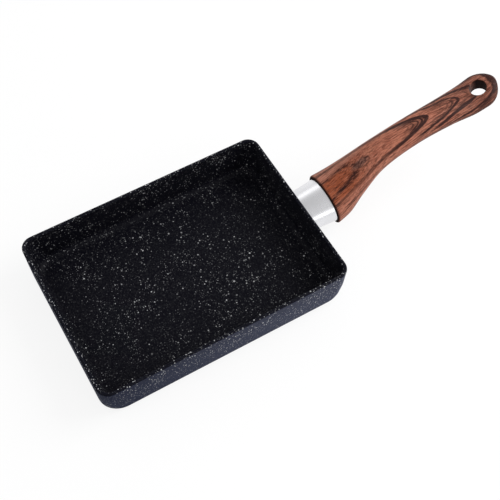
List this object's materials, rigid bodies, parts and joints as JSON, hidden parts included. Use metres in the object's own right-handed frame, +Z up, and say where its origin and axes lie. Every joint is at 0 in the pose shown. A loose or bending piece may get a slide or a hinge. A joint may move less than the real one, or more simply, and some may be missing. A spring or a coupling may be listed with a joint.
{
  "type": "omelette pan",
  "caption": "Rectangular non-stick omelette pan: a straight-walled speckled tray, an oval metal ferrule and a curved wood-look handle with a hanging hole.",
  "frame": {"origin": "centre of the pan's base, on the surface that the pan stands on", "axes": "+X from the tray towards the handle's tail, +Y across the tray, +Z up"},
  "size_m": [0.3481, 0.134, 0.0734],
  "materials": {
    "coated_aluminium": "satin",
    "base_steel": "satin",
    "ferrule_metal": "satin",
    "grip_print": "satin",
    "lug_casting": "satin",
    "fastener_steel": "satin"
  },
  "bodies": {
    "root": {"pan_body": "coated_aluminium", "induction_base_plate": "base_steel", "handle_lug": "lug_casting", "weld_stud_left": "fastener_steel", "weld_stud_right": "fastener_steel", "stud_spring_washer_left": "fastener_steel", "stud_spring_washer_right": "fastener_steel", "stud_nut_left": "fastener_steel", "stud_nut_right": "fastener_steel", "ferrule": "ferrule_metal", "handle_grip": "grip_print", "handle_screw": "fastener_steel", "screw_washer": "fastener_steel", "screw_spring_washer": "fastener_steel"}
  },
  "joints": []
}
